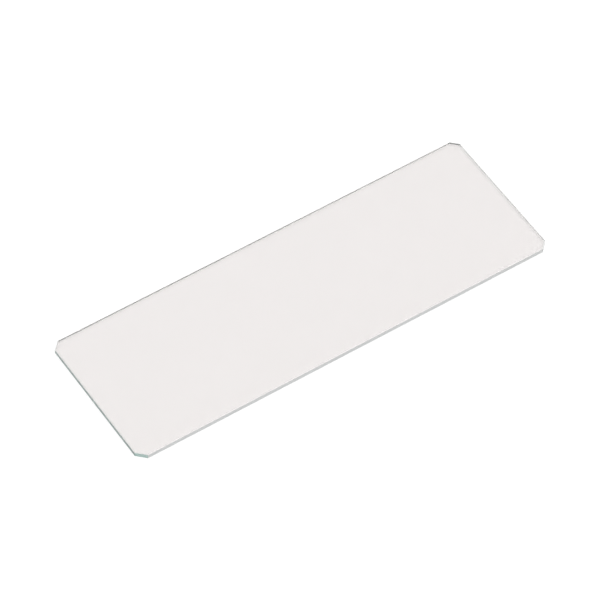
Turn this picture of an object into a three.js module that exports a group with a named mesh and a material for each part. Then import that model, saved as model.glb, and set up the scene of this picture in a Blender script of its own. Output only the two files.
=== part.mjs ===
// A plain glass microscope slide: one clear plate with four cut corners, ground edges and a narrow
// 45 degree seam round both faces. The length runs along X, the width along Y and the thickness
// along Z. The origin is the middle of the underside, and all sizes are in millimetres.

import * as THREE from 'three';

// Driving dimensions
const SLIDE_LENGTH = 76;
const SLIDE_WIDTH = 26;
const SLIDE_THICKNESS = 1.0;
const CORNER_CUT = 1.2; // what the cut takes off the length and off the width at each corner
const EDGE_SEAM = 0.15; // what the seam takes off a face and off the wall below it

// Clear soda-lime glass
const GLASS_COLOUR = 0xe9efed;
const GLASS_ROUGHNESS = 0.05;
const GLASS_METALNESS = 0;
const GLASS_OPACITY = 0.35;

// The plate seen from above at its full size: a rectangle with its corners cut off at 45 degrees.
function plateOutline() {
  const endX = SLIDE_LENGTH / 2;
  const sideY = SLIDE_WIDTH / 2;
  const outline = new THREE.Shape();
  outline.moveTo(-endX + CORNER_CUT, -sideY);
  outline.lineTo(endX - CORNER_CUT, -sideY);
  outline.lineTo(endX, -sideY + CORNER_CUT);
  outline.lineTo(endX, sideY - CORNER_CUT);
  outline.lineTo(endX - CORNER_CUT, sideY);
  outline.lineTo(-endX + CORNER_CUT, sideY);
  outline.lineTo(-endX, sideY - CORNER_CUT);
  outline.lineTo(-endX, -sideY + CORNER_CUT);
  outline.closePath();
  return outline;
}

// The plate: upright ground walls between two seams, under and over them the two flat faces. The
// seams lie inside the outline, so that the plate is as long and as wide as its walls.
function plateGeometry() {
  const geometry = new THREE.ExtrudeGeometry(plateOutline(), {
    depth: SLIDE_THICKNESS - 2 * EDGE_SEAM,
    bevelEnabled: true,
    bevelThickness: EDGE_SEAM,
    bevelSize: EDGE_SEAM,
    bevelOffset: -EDGE_SEAM,
    bevelSegments: 1,
  });
  geometry.translate(0, 0, EDGE_SEAM);
  return geometry;
}

function glassSlide() {
  const glass = new THREE.MeshStandardMaterial({
    color: GLASS_COLOUR,
    roughness: GLASS_ROUGHNESS,
    metalness: GLASS_METALNESS,
    transparent: true,
    opacity: GLASS_OPACITY,
  });
  const slide = new THREE.Mesh(plateGeometry(), glass);
  slide.name = 'glass_slide';
  return slide;
}

const microscopeSlide = new THREE.Group();
microscopeSlide.add(glassSlide());

export default microscopeSlide;
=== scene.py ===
"""Builds the look of a plain glass microscope slide, with a stage and a camera."""

import math

import bmesh
import bpy
from bpy.props import FloatProperty, FloatVectorProperty, IntProperty, PointerProperty
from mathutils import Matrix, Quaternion, Vector, noise


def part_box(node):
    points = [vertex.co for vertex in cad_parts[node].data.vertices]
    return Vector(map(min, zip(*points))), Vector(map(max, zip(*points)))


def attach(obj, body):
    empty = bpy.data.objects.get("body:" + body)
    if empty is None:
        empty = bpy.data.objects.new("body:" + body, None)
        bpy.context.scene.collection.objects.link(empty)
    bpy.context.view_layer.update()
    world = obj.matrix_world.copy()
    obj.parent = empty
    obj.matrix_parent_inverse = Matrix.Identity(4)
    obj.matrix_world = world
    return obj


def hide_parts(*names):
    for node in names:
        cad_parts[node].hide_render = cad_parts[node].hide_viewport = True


bl_info = {
    "name": "Glass Microscope Slide",
    "version": (1, 0, 0),
    "blender": (4, 5, 0),
    "location": "3D View > Sidebar > Slide",
    "description": "A clear glass slide with ground edges, on a white studio floor",
    "category": "Object",
}

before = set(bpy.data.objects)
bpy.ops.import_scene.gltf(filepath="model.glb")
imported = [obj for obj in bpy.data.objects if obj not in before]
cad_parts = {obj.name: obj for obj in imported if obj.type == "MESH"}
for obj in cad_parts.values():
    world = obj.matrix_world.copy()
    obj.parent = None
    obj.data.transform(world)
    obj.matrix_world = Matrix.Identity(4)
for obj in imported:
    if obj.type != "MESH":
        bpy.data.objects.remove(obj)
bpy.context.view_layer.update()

MM = 0.001
CAD_NODE = "glass_slide"
BODY = "root"
PLATE_NAME = "ground_glass_plate"
GROUND_MASK = "ground"
FROST_MASK = "frost"
# Face mask of how much painted green glow each wall's frost takes, set wall by wall.
PAINTED_GLOW_MASK = "painted_glow"

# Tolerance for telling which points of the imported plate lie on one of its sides.
NEARLY = 0.001 * MM

# How much of the grain and the streaks goes into each part of the ground finish.
GRAIN_IN_FROST = 0.3
GRAIN_IN_ROUGHNESS = 0.08
GRAIN_IN_RELIEF = 0.7
STREAKS_IN_RELIEF = 0.3

# How many finer layers each noise has.
STREAK_DETAIL = 2.0
GRAIN_DETAIL = 3.0
SMEAR_DETAIL = 2.0

# The edge chips only where the noise rises above this.
CHIP_RARITY = 0.4

# Power by which the frost thins out as it is seen at a slant.
FROST_FALL = 4

# The blend at which Layer Weight's Facing is 1 minus the cosine of the slant.
PLAIN_FACING = 0.5

# Turns that light may take between the two faces before it leaves through an edge.
GLASS_BOUNCES = 48

SENSOR_WIDTH = 36.0
NEAREST_SEEN = 0.01
FARTHEST_SEEN = 100.0


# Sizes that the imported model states


def corner_cut_and_seam(node):
    """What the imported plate's corner cuts and its seams take off, in metres."""
    lowest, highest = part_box(node)
    points = [vertex.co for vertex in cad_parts[node].data.vertices]
    on_side = [p for p in points if highest.y - p.y < NEARLY]
    on_top = [p for p in points if highest.z - p.z < NEARLY]
    cut = highest.x - max(p.x for p in on_side)
    seam = highest.y - max(p.y for p in on_top)
    return cut, seam


# Settings


class PlateSettings(bpy.types.PropertyGroup):
    """How evenly the plate is cut and ground."""

    corner_trim: FloatVectorProperty(
        name="Corner Trim",
        description="What each corner's cut takes off beyond the usual, from the near left round",
        unit="LENGTH",
        precision=6,
        size=4,
        default=(0.28 * MM, 0.05 * MM, 0.0, 0.08 * MM),
    )
    lower_seam: FloatProperty(
        name="Lower Seam",
        description="Width of the seam along the lower edge, which is ground more lightly",
        default=0.04 * MM,
        unit="LENGTH",
        precision=6,
    )
    section_spacing: FloatProperty(
        name="Section Spacing",
        description="Longest distance between two cross-sections along the ground edge",
        default=0.16 * MM,
        unit="LENGTH",
        precision=6,
    )
    wall_rows: IntProperty(
        name="Wall Rows",
        description="Rows of faces up the ground wall, between the two seams",
        default=4,
    )
    wall_unevenness: FloatProperty(
        name="Wall Unevenness",
        description="How far the grinding wheel wandered into the wall",
        default=0.003 * MM,
        unit="LENGTH",
        precision=6,
    )
    seam_unevenness: FloatProperty(
        name="Seam Unevenness",
        description="How much the width of a seam wanders to each side",
        default=0.008 * MM,
        unit="LENGTH",
        precision=6,
    )
    wander_length: FloatProperty(
        name="Wander Length",
        description="Length along the edge over which the wheel wanders",
        default=7 * MM,
        unit="LENGTH",
        precision=4,
    )
    chip_size: FloatProperty(
        name="Chip Size",
        description="How far the largest chips would reach into a face beyond its seam",
        default=0.15 * MM,
        unit="LENGTH",
        precision=6,
    )
    chip_length: FloatProperty(
        name="Chip Length",
        description="Usual distance between two chips along a seam",
        default=0.5 * MM,
        unit="LENGTH",
        precision=6,
    )
    # Painted glow: how much of the painted green each wall's frost takes when seen from outside,
    # for a corner cut, a long wall and a short wall. It stands in for light carried inside the
    # glass.
    painted_wall_glow: FloatVectorProperty(
        name="Wall Depths",
        description="How much glass shows behind a corner cut, a long wall and a short wall",
        size=3,
        default=(1.0, 0.0, 0.8),
    )
    seam_finish: FloatProperty(
        name="Seam Finish",
        description="How rough the seams are, beside the walls",
        default=0.3,
        subtype="FACTOR",
    )
    seam_frost: FloatProperty(
        name="Upper Seam Frost",
        description="How frosted the upper seams are, beside the walls",
        default=0.1,
        subtype="FACTOR",
    )


class GlassSettings(bpy.types.PropertyGroup):
    """The plate's glass: its body, its bright faces and its ground edges."""

    refraction: FloatProperty(
        name="Refractive Index",
        description="Refractive index of soda-lime glass",
        default=1.52,
    )
    body_colour: FloatVectorProperty(
        name="Body Colour",
        description="Colour that a long way through the glass leaves",
        subtype="COLOR",
        size=3,
        default=(0.76, 0.88, 0.84),
    )
    body_density: FloatProperty(
        name="Body Density",
        description="How fast the glass takes on its body colour, for each metre",
        default=12.0,
    )
    face_tint: FloatVectorProperty(
        name="Face Tint",
        description="What a bright face leaves of the light that crosses the plate",
        subtype="COLOR",
        size=3,
        default=(0.836, 0.811, 0.804),
    )
    face_roughness: FloatProperty(
        name="Face Roughness",
        description="Roughness of the bright faces where they are least clean",
        default=0.03,
        subtype="FACTOR",
    )
    smear_length: FloatProperty(
        name="Smear Length",
        description="Usual size of a less clean patch on the faces",
        default=9 * MM,
        unit="LENGTH",
        precision=4,
    )
    ground_tint: FloatVectorProperty(
        name="Ground Tint",
        description="What a ground wall leaves of the light that crosses it",
        subtype="COLOR",
        size=3,
        default=(0.6, 0.6, 0.6),
    )
    ground_roughness: FloatProperty(
        name="Ground Roughness",
        description="Mean roughness of the ground walls and seams",
        default=0.1,
        subtype="FACTOR",
    )
    frost: FloatProperty(
        name="Frost",
        description="Share of a ground surface that scatters light as white frost does",
        default=0.9,
        subtype="FACTOR",
    )
    frost_thinness: FloatProperty(
        name="Frost Thinness",
        description="Share of the scattered light that goes on through the frost",
        default=0.05,
        subtype="FACTOR",
    )
    frost_full_at: FloatProperty(
        name="Frost Full At",
        description="Cosine of the slant at which the frost begins to thin out",
        default=0.36,
        subtype="FACTOR",
    )
    frost_colour: FloatVectorProperty(
        name="Frost Colour",
        description="Colour of that frost",
        subtype="COLOR",
        size=3,
        default=(0.872, 0.88, 0.877),
    )
    # Painted green glow of light carried inside the glass and let out through the frost.
    painted_glow_colour: FloatVectorProperty(
        name="Deep Colour",
        description="Colour of the frost where the most glass shows behind it",
        subtype="COLOR",
        size=3,
        default=(0.64, 0.828, 0.784),
    )
    grain_size: FloatProperty(
        name="Grain Size",
        description="Size of the pits that the grinding wheel's grit left",
        default=0.06 * MM,
        unit="LENGTH",
        precision=6,
    )
    grain_depth: FloatProperty(
        name="Grain Depth",
        description="Depth of those pits",
        default=0.003 * MM,
        unit="LENGTH",
        precision=6,
    )
    streak_length: FloatProperty(
        name="Streak Length",
        description="Length of the grinding marks along the edge",
        default=2.5 * MM,
        unit="LENGTH",
        precision=4,
    )


class StageSettings(bpy.types.PropertyGroup):
    """The white floor, the soft light and the camera."""

    azimuth: FloatProperty(
        name="Camera Azimuth",
        description="How far round the slide the camera stands, from the -Y side towards +X",
        default=math.radians(-33.83),
        subtype="ANGLE",
    )
    elevation: FloatProperty(
        name="Camera Elevation",
        description="How far above the floor the camera stands",
        default=math.radians(52.28),
        subtype="ANGLE",
    )
    roll: FloatProperty(
        name="Camera Roll",
        description="How far the camera is turned about its own line of sight",
        default=math.radians(0.71),
        subtype="ANGLE",
    )
    distance: FloatProperty(
        name="Camera Distance",
        description="From the camera to the point that it looks at",
        default=644 * MM,
        unit="LENGTH",
    )
    lens: FloatProperty(
        name="Lens",
        description="Focal length on a 36 mm wide sensor, in millimetres",
        default=247.7,
    )
    aim: FloatVectorProperty(
        name="Aim",
        description="Where the camera looks, from the middle of the slide's underside",
        subtype="TRANSLATION",
        size=3,
        default=(-0.568 * MM, -0.142 * MM, 0.0),
    )
    floor_colour: FloatVectorProperty(
        name="Floor Colour",
        description="Colour of the floor sheet",
        subtype="COLOR",
        size=3,
        default=(0.42, 0.42, 0.42),
    )
    floor_size: FloatProperty(
        name="Floor Size",
        description="Length of each side of the floor",
        default=8.0,
        unit="LENGTH",
    )
    floor_gap: FloatProperty(
        name="Floor Gap",
        description="Air between the slide and the floor",
        default=0.02 * MM,
        unit="LENGTH",
        precision=6,
    )
    floor_lift: FloatProperty(
        name="Floor Lift",
        description="Glow of the floor where it is looked at, so that it is as white as the room",
        default=0.72,
    )
    surround: FloatProperty(
        name="Surround",
        description="How brightly the white room lights the slide and the floor",
        default=0.8,
    )
    softbox_size: FloatProperty(
        name="Softbox Size",
        description="Length of each side of a softbox",
        default=1.2,
        unit="LENGTH",
    )
    key_light: FloatProperty(
        name="Key Light",
        description="Power of the key softbox, in watts",
        default=7.0,
    )
    key_place: FloatVectorProperty(
        name="Key Place",
        description="Where the key softbox hangs",
        subtype="TRANSLATION",
        size=3,
        default=(0.6, -1.1, 1.1),
    )
    fill_light: FloatProperty(
        name="Fill Light",
        description="Power of the fill softbox, in watts",
        default=2.33,
    )
    fill_place: FloatVectorProperty(
        name="Fill Place",
        description="Where the fill softbox hangs",
        subtype="TRANSLATION",
        size=3,
        default=(-0.9, 0.6, 1.2),
    )


# Node trees written as expressions


class Socket:
    """A shader socket that Python's operators work on, each by adding its Math node."""

    def __init__(self, tree, socket):
        self.tree = tree
        self.socket = socket

    def maths(self, operation, first, second):
        return self.tree.node("ShaderNodeMath", {"operation": operation}, [first, second])

    def __add__(self, other):
        return self.maths("ADD", self, other)

    __radd__ = __add__

    def __sub__(self, other):
        return self.maths("SUBTRACT", self, other)

    def __rsub__(self, other):
        return self.maths("SUBTRACT", other, self)

    def __mul__(self, other):
        return self.maths("MULTIPLY", self, other)

    __rmul__ = __mul__

    def __pow__(self, other):
        return self.maths("POWER", self, other)

    def at_most(self, other):
        return self.maths("MINIMUM", self, other)

    def at_least(self, other):
        return self.maths("MAXIMUM", self, other)


class Tree:
    """A material's or the world's node tree, empty apart from its output."""

    def __init__(self, owner, output_type):
        owner.use_nodes = True
        self.nodes = owner.node_tree.nodes
        self.links = owner.node_tree.links
        self.nodes.clear()
        self.output = self.nodes.new(output_type)

    def node(self, node_type, settings=None, inputs=None, output=0):
        """Adds a node. inputs gives its sockets' values or links, by number or by name."""
        node = self.nodes.new(node_type)
        for name, value in (settings or {}).items():
            setattr(node, name, value)
        given = inputs or {}
        pairs = given.items() if isinstance(given, dict) else enumerate(given)
        for name, value in pairs:
            self.feed(node.inputs[name], value)
        return Socket(self, node.outputs[output])

    def feed(self, entry, value):
        """Links a socket to an input, or sets the input to a plain value."""
        if isinstance(value, Socket):
            self.links.new(value.socket, entry)
        else:
            entry.default_value = value

    def noise(self, place, scale, detail):
        """Noise at a place, from 0 to 1."""
        inputs = {"Vector": place, "Scale": scale, "Detail": detail}
        return self.node("ShaderNodeTexNoise", None, inputs)

    def colour_between(self, factor, first, second):
        """The colour that lies factor of the way from the first to the second."""
        colours = {0: factor, 6: (*first, 1), 7: (*second, 1)}
        return self.node("ShaderNodeMix", {"data_type": "RGBA"}, colours, output=2)

    def finish(self, **shaders):
        """Links the finished shaders to the output, by the output's socket names."""
        for name, value in shaders.items():
            self.feed(self.output.inputs[name], value)


# The glass


def glass_material(glass):
    """Clear glass, polished where the ground mask is 0 and finely ground where it is 1."""
    material = bpy.data.materials.new("slide_glass_clear_and_ground")
    tree = Tree(material, "ShaderNodeOutputMaterial")
    ground = tree.node("ShaderNodeAttribute", {"attribute_name": GROUND_MASK}, output="Fac")
    frosty = tree.node("ShaderNodeAttribute", {"attribute_name": FROST_MASK}, output="Fac")
    place = tree.node("ShaderNodeTexCoord", output="Object")

    # Grinding marks run along the edge, so they are stretched in X and Y and fine in Z.
    along = 1 / glass.streak_length
    across = 1 / glass.grain_size
    stretched = tree.node(
        "ShaderNodeVectorMath",
        {"operation": "MULTIPLY"},
        [place, (along, along, across)],
    )
    streaks = tree.noise(stretched, 1.0, STREAK_DETAIL)
    grain = tree.noise(place, across, GRAIN_DETAIL)
    smears = tree.noise(place, 1 / glass.smear_length, SMEAR_DETAIL)

    face_roughness = smears * glass.face_roughness
    marks = (streaks - 0.5) + (grain - 0.5)
    ground_roughness = glass.ground_roughness + GRAIN_IN_ROUGHNESS * marks
    roughness = face_roughness + ground * (ground_roughness - face_roughness)
    relief = ground * (GRAIN_IN_RELIEF * grain + STREAKS_IN_RELIEF * streaks)
    normal = tree.node(
        "ShaderNodeBump",
        None,
        {"Strength": 1.0, "Distance": glass.grain_depth, "Height": relief},
    )
    tint = tree.colour_between(frosty, glass.face_tint, glass.ground_tint)
    clear = tree.node(
        "ShaderNodeBsdfPrincipled",
        None,
        {
            "Base Color": tint,
            "Roughness": roughness,
            "IOR": glass.refraction,
            "Transmission Weight": 1.0,
            "Normal": normal,
        },
    )
    # Frost throws back most of the light that falls on it, and lets a little through. Seen from
    # outside, its colour is painted greener wall by wall: a painted glow for light carried inside
    # the glass.
    white = (*glass.frost_colour, 1)
    painted_green = (*glass.painted_glow_colour, 1)
    pale = tree.node("ShaderNodeBsdfDiffuse", None, {"Color": white, "Normal": normal})
    painted_glow_diffuse = tree.node("ShaderNodeBsdfDiffuse", None, {"Color": painted_green, "Normal": normal})
    # The painted green glow goes on wall by wall, and only where a wall is seen from outside.
    painted_glow = tree.node("ShaderNodeAttribute", {"attribute_name": PAINTED_GLOW_MASK}, output="Fac")
    inside = tree.node("ShaderNodeNewGeometry", output="Backfacing")
    frost_and_painted_glow = tree.node("ShaderNodeMixShader", None, [painted_glow * (1 - inside), pale, painted_glow_diffuse])
    let_through = tree.node("ShaderNodeBsdfTranslucent", None, {"Color": white, "Normal": normal})
    frosted = tree.node(
        "ShaderNodeMixShader", None, [glass.frost_thinness, frost_and_painted_glow, let_through]
    )

    # Along a ground surface the eye skims the grain and sees less frost than it does square on.
    skim = tree.node("ShaderNodeLayerWeight", None, {"Blend": PLAIN_FACING}, output="Facing")
    square_on = ((1 - skim) * (1 / glass.frost_full_at)).at_most(1)
    share = glass.frost + GRAIN_IN_FROST * (grain - 0.5)
    frost = frosty * share * square_on**FROST_FALL
    surface = tree.node("ShaderNodeMixShader", None, [frost, clear, frosted])
    body = tree.node(
        "ShaderNodeVolumeAbsorption",
        None,
        {"Color": (*glass.body_colour, 1), "Density": glass.body_density},
    )
    tree.finish(Surface=surface, Volume=body)
    return material


def plate_corners(half_length, half_width, cuts):
    """The outline's eight corners, anticlockwise from the near left cut's right end."""
    near_left, near_right, far_right, far_left = cuts
    return [
        Vector((-half_length + near_left, -half_width)),
        Vector((half_length - near_right, -half_width)),
        Vector((half_length, -half_width + near_right)),
        Vector((half_length, half_width - far_right)),
        Vector((half_length - far_right, half_width)),
        Vector((-half_length + far_left, half_width)),
        Vector((-half_length, half_width - far_left)),
        Vector((-half_length, -half_width + near_left)),
    ]


def outline_stations(corners, spacing):
    """Points round the outline, each as (place, outward, wall).

    outward is as long as it takes to move the wall out by 1, so at a corner it is longer than 1.
    wall is the number of the wall that starts or goes on there, from the near long one round.
    """
    following = corners[1:] + corners[:1]
    outward = []
    for here, after in zip(corners, following):
        run = (after - here).normalized()
        outward.append(Vector((run.y, -run.x)))
    stations = []
    for index, (here, after) in enumerate(zip(corners, following)):
        before_out, out = outward[index - 1], outward[index]
        stations.append((here, (before_out + out) / (1 + before_out.dot(out)), index))
        steps = max(2, round((after - here).length / spacing))
        for step in range(1, steps):
            stations.append((here.lerp(after, step / steps), out, index))
    return stations


def chipped(plate, place):
    """How much wider a seam is here, where the wheel wandered or the glass chipped."""
    wander = plate.seam_unevenness * noise.noise(place / plate.wander_length)
    chip = max(0.0, noise.noise(place / plate.chip_length) - CHIP_RARITY)
    return wander + plate.chip_size * chip


def cross_section(shape, plate, station, seam, lowest, highest):
    """The vertices up one cross-section of the plate's edge, from the underside to the top."""
    place, out, _ = station
    lower = plate.lower_seam + chipped(plate, Vector((*place, lowest)))
    upper = seam + chipped(plate, Vector((*place, highest)))
    bottom, top = lowest + lower, highest - upper
    levels = [(lowest, lower)]
    for row in range(plate.wall_rows + 1):
        height = bottom + row / plate.wall_rows * (top - bottom)
        bump = noise.noise(Vector((*place, height)) / plate.wander_length)
        levels.append((height, plate.wall_unevenness * abs(bump)))
    levels.append((highest, upper))
    return [shape.verts.new((*(place - inset * out), height)) for height, inset in levels]


def plate_mesh(plate):
    """The plate's mesh: two flat faces, two chipped seams and a wall that the wheel left uneven."""
    lowest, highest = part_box(CAD_NODE)
    cut, seam = corner_cut_and_seam(CAD_NODE)
    cuts = [cut + trim for trim in plate.corner_trim]
    corners = plate_corners(highest.x, highest.y, cuts)
    stations = outline_stations(corners, plate.section_spacing)

    shape = bmesh.new()
    ground = shape.faces.layers.float.new(GROUND_MASK)
    frost = shape.faces.layers.float.new(FROST_MASK)
    painted_glow = shape.faces.layers.float.new(PAINTED_GLOW_MASK)
    # Each wall's share of the painted green glow: corner cuts, long walls, short walls.
    cut_glow, long_glow, short_glow = plate.painted_wall_glow
    glow_per_wall = [long_glow, cut_glow, short_glow, cut_glow] * 2
    columns = [
        (cross_section(shape, plate, station, seam, lowest.z, highest.z), glow_per_wall[station[2]])
        for station in stations
    ]
    lower_seam_marks = (plate.seam_finish, 0.0)
    upper_seam_marks = (plate.seam_finish, plate.seam_frost)
    wall_marks = (1.0, 1.0)
    marks = [lower_seam_marks] + [wall_marks] * plate.wall_rows + [upper_seam_marks]
    for (here, wall_glow), (after, next_glow) in zip(columns, columns[1:] + columns[:1]):
        for row, (face_ground, face_frost) in enumerate(marks):
            face = shape.faces.new((here[row], after[row], after[row + 1], here[row + 1]))
            face[ground] = face_ground
            face[frost] = face_frost
            face[painted_glow] = wall_glow
    shape.faces.new([column[0] for column, _ in reversed(columns)])
    shape.faces.new([column[-1] for column, _ in columns])
    mesh = bpy.data.meshes.new(PLATE_NAME)
    shape.to_mesh(mesh)
    shape.free()
    return mesh


class SLIDE_OT_plate(bpy.types.Operator):
    """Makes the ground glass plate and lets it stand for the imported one"""

    bl_idname = "slide.plate"
    bl_label = "Glass Plate"

    def execute(self, context):
        scene = context.scene
        if CAD_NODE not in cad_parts:
            raise RuntimeError("The packed model has no glass slide to stand for")
        plate = bpy.data.objects.new(PLATE_NAME, plate_mesh(scene.slide_plate))
        scene.collection.objects.link(plate)
        plate.data.materials.append(glass_material(scene.slide_glass))
        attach(plate, BODY)
        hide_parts(CAD_NODE)
        return {"FINISHED"}


# The stage


def seen_directly(tree):
    """1 for what is seen, straight or by way of glass or a shiny thing, and 0 for what lights."""
    kinds = ("Is Camera Ray", "Is Glossy Ray", "Is Transmission Ray", "Diffuse Depth")
    camera, glossy, through, scattered = (
        tree.node("ShaderNodeLightPath", output=kind) for kind in kinds
    )
    return camera.at_least(glossy).at_least(through) * (1 - scattered.at_most(1))


def floor_material(stage):
    """A pale matte sheet, lifted to white where it is looked at. It keeps its shadows."""
    material = bpy.data.materials.new("floor_sheet")
    tree = Tree(material, "ShaderNodeOutputMaterial")
    sheet = tree.node("ShaderNodeBsdfDiffuse", None, {"Color": (*stage.floor_colour, 1)})
    lift = tree.node(
        "ShaderNodeEmission",
        None,
        {"Color": (1, 1, 1, 1), "Strength": seen_directly(tree) * stage.floor_lift},
    )
    tree.finish(Surface=tree.node("ShaderNodeAddShader", None, [sheet, lift]))
    return material


def white_room(world, stage):
    """A plain white surround: white where it is seen, and at the surround's level as a light."""
    tree = Tree(world, "ShaderNodeOutputWorld")
    seen = seen_directly(tree)
    strength = seen + (1 - seen) * stage.surround
    white = tree.node("ShaderNodeBackground", None, {"Color": (1, 1, 1, 1), "Strength": strength})
    tree.finish(Surface=white)


def add_camera(scene, stage):
    """The camera, a long way off with a long lens."""
    azimuth, elevation = stage.azimuth, stage.elevation
    back = Vector(
        (
            math.sin(azimuth) * math.cos(elevation),
            -math.cos(azimuth) * math.cos(elevation),
            math.sin(elevation),
        )
    )
    data = bpy.data.cameras.new("camera")
    data.sensor_width = SENSOR_WIDTH
    data.lens = stage.lens
    data.clip_start = NEAREST_SEEN
    data.clip_end = FARTHEST_SEEN
    camera = bpy.data.objects.new("camera", data)
    scene.collection.objects.link(camera)
    camera.rotation_mode = "QUATERNION"
    camera.location = Vector(stage.aim) + back * stage.distance
    level = (-back).to_track_quat("-Z", "Y")
    camera.rotation_quaternion = level @ Quaternion((0, 0, 1), stage.roll)
    scene.camera = camera


def add_softbox(scene, name, stage, watts, place):
    """A square softbox that points at the slide."""
    data = bpy.data.lights.new(name, "AREA")
    data.shape = "SQUARE"
    data.size = stage.softbox_size
    data.energy = watts
    lamp = bpy.data.objects.new(name, data)
    scene.collection.objects.link(lamp)
    lamp.location = place
    lamp.rotation_mode = "QUATERNION"
    lamp.rotation_quaternion = (-lamp.location).to_track_quat("-Z", "Y")


class SLIDE_OT_stage(bpy.types.Operator):
    """Sets up the floor, the light and the camera"""

    bl_idname = "slide.stage"
    bl_label = "Stage"

    def execute(self, context):
        scene = context.scene
        stage = scene.slide_stage
        scene.view_settings.view_transform = "Standard"

        # Blurring the gloss would roughen the clear glass and darken what lies under it.
        scene.cycles.blur_glossy = 0.0
        scene.cycles.max_bounces = GLASS_BOUNCES
        scene.cycles.glossy_bounces = GLASS_BOUNCES
        scene.cycles.transmission_bounces = GLASS_BOUNCES

        add_camera(scene, stage)
        add_softbox(scene, "key_softbox", stage, stage.key_light, stage.key_place)
        add_softbox(scene, "fill_softbox", stage, stage.fill_light, stage.fill_place)
        world = bpy.data.worlds.new("white_room")
        scene.world = world
        white_room(world, stage)

        half = stage.floor_size / 2
        level = -stage.floor_gap
        shape = bmesh.new()
        corners = ((-half, -half), (half, -half), (half, half), (-half, half))
        shape.faces.new([shape.verts.new((x, y, level)) for x, y in corners])
        mesh = bpy.data.meshes.new("floor")
        shape.to_mesh(mesh)
        shape.free()
        floor = bpy.data.objects.new("floor", mesh)
        scene.collection.objects.link(floor)
        floor.data.materials.append(floor_material(stage))
        return {"FINISHED"}


class SLIDE_PT_panel(bpy.types.Panel):
    """Lists the steps that build the slide"""

    bl_label = "Microscope Slide"
    bl_idname = "SLIDE_PT_panel"
    bl_space_type = "VIEW_3D"
    bl_region_type = "UI"
    bl_category = "Slide"

    def draw(self, context):
        scene = context.scene
        for settings in (scene.slide_stage, scene.slide_plate, scene.slide_glass):
            box = self.layout.box()
            for name in settings.__annotations__:
                box.prop(settings, name)
        self.layout.operator(SLIDE_OT_stage.bl_idname)
        self.layout.operator(SLIDE_OT_plate.bl_idname)


CLASSES = (
    PlateSettings,
    GlassSettings,
    StageSettings,
    SLIDE_OT_plate,
    SLIDE_OT_stage,
    SLIDE_PT_panel,
)


def register():
    for each in CLASSES:
        bpy.utils.register_class(each)
    bpy.types.Scene.slide_plate = PointerProperty(type=PlateSettings)
    bpy.types.Scene.slide_glass = PointerProperty(type=GlassSettings)
    bpy.types.Scene.slide_stage = PointerProperty(type=StageSettings)


def unregister():
    del bpy.types.Scene.slide_stage
    del bpy.types.Scene.slide_glass
    del bpy.types.Scene.slide_plate
    for each in reversed(CLASSES):
        bpy.utils.unregister_class(each)


def main():
    register()
    bpy.ops.slide.stage()
    bpy.ops.slide.plate()


if __name__ == "__main__":
    main()
